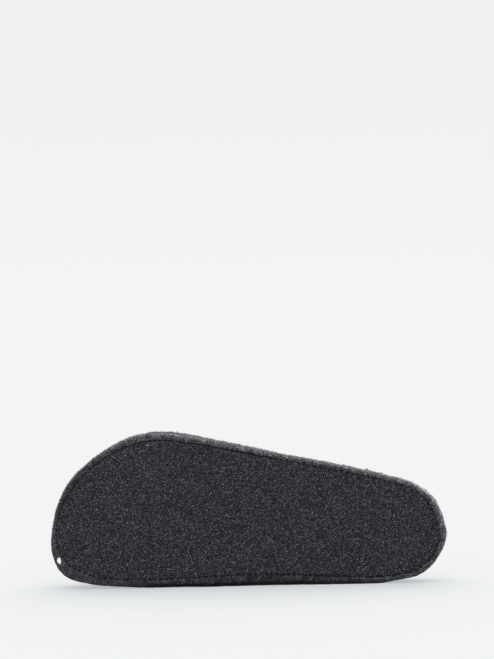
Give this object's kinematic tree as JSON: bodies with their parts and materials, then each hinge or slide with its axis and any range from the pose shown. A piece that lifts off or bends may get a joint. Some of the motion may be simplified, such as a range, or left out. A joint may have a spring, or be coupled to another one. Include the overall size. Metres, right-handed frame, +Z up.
{
  "type": "felt slipper",
  "caption": "Left felt house slipper with a closed toe, a low heel rim and a flat felt sole, lying on its inner side.",
  "frame": {"origin": "centre of the slipper's box, on the floor that its inner side lies on", "axes": "+X from toe to heel, +Y from the tread to the instep, +Z up, from the inner side of the foot to the outer side"},
  "size_m": [0.272, 0.067, 0.1059],
  "materials": {
    "outsole": "dense speckled charcoal wool felt",
    "rand": "charcoal wool felt edge, brushed",
    "upper": "soft charcoal wool felt, fuzzy",
    "insole": "pressed grey wool felt"
  },
  "bodies": {
    "root": {"outsole": "outsole", "rand": "rand", "upper": "upper", "insole": "insole"}
  },
  "joints": []
}
